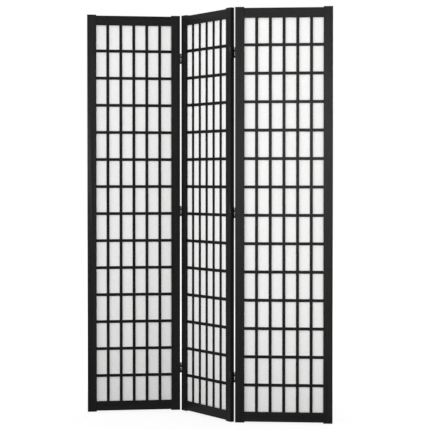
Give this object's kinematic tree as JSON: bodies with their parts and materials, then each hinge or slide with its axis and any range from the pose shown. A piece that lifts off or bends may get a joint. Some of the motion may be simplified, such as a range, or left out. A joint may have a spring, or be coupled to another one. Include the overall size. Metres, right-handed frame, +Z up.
{
  "type": "shoji folding screen",
  "caption": "Free-standing folding screen of dark wooden lattice panels with white paper, hung on double-acting hinges that fold both ways.",
  "frame": {"origin": "on the floor, under the middle of the bounding box of the screen in its pictured zigzag", "axes": "+Z up, -Y towards the viewer of the picture, +X to the viewer's right along the row of panels"},
  "size_m": [1.0822, 0.4316, 1.79],
  "materials": {
    "frame": "black stain, satin lacquer, fine grain",
    "lattice": "black stain, satin lacquer",
    "paper": "matt white fibre paper",
    "hinge": "blackened steel, semi-gloss",
    "hinge_pin": "plain steel, worn bright"
  },
  "bodies": {
    "middle_panel": {"middle_panel_left_stile": "frame", "middle_panel_right_stile": "frame", "middle_panel_top_rail": "frame", "middle_panel_bottom_rail": "frame", "middle_panel_front_lattice": "lattice", "middle_panel_back_lattice": "lattice", "middle_panel_paper": "paper", "left_bottom_hinge_back_leaf": "hinge", "left_middle_hinge_back_leaf": "hinge", "left_top_hinge_back_leaf": "hinge", "right_bottom_hinge_front_leaf": "hinge", "right_middle_hinge_front_leaf": "hinge", "right_top_hinge_front_leaf": "hinge"},
    "left_links": {"left_bottom_hinge_link": "hinge", "left_bottom_hinge_front_pin": "hinge_pin", "left_bottom_hinge_back_pin": "hinge_pin", "left_middle_hinge_link": "hinge", "left_middle_hinge_front_pin": "hinge_pin", "left_middle_hinge_back_pin": "hinge_pin", "left_top_hinge_link": "hinge", "left_top_hinge_front_pin": "hinge_pin", "left_top_hinge_back_pin": "hinge_pin"},
    "left_panel": {"left_panel_left_stile": "frame", "left_panel_right_stile": "frame", "left_panel_top_rail": "frame", "left_panel_bottom_rail": "frame", "left_panel_front_lattice": "lattice", "left_panel_back_lattice": "lattice", "left_panel_paper": "paper", "left_bottom_hinge_front_leaf": "hinge", "left_middle_hinge_front_leaf": "hinge", "left_top_hinge_front_leaf": "hinge"},
    "right_links": {"right_bottom_hinge_link": "hinge", "right_bottom_hinge_front_pin": "hinge_pin", "right_bottom_hinge_back_pin": "hinge_pin", "right_middle_hinge_link": "hinge", "right_middle_hinge_front_pin": "hinge_pin", "right_middle_hinge_back_pin": "hinge_pin", "right_top_hinge_link": "hinge", "right_top_hinge_front_pin": "hinge_pin", "right_top_hinge_back_pin": "hinge_pin"},
    "right_panel": {"right_panel_left_stile": "frame", "right_panel_right_stile": "frame", "right_panel_top_rail": "frame", "right_panel_bottom_rail": "frame", "right_panel_front_lattice": "lattice", "right_panel_back_lattice": "lattice", "right_panel_paper": "paper", "right_bottom_hinge_back_leaf": "hinge", "right_middle_hinge_back_leaf": "hinge", "right_top_hinge_back_leaf": "hinge"}
  },
  "joints": [
    {"name": "left_back_hinge", "type": "hinge", "parent": "middle_panel", "child": "left_links", "pos_m": [-0.09986, 0.20634, 0.90575], "axis": [0, 0, 1], "range_deg": [-90, 0]},
    {"name": "left_front_hinge", "type": "hinge", "parent": "left_links", "child": "left_panel", "pos_m": [-0.12135, 0.1947, 0.90575], "axis": [0, 0, 1], "range_deg": [-67.2, 112.8]},
    {"name": "right_front_hinge", "type": "hinge", "parent": "middle_panel", "child": "right_links", "pos_m": [0.1003, -0.16699, 0.90575], "axis": [0, 0, 1], "range_deg": [-90, 0]},
    {"name": "right_back_hinge", "type": "hinge", "parent": "right_links", "child": "right_panel", "pos_m": [0.12178, -0.15535, 0.90575], "axis": [0, 0, 1], "range_deg": [-53.2, 126.8]}
  ]
}
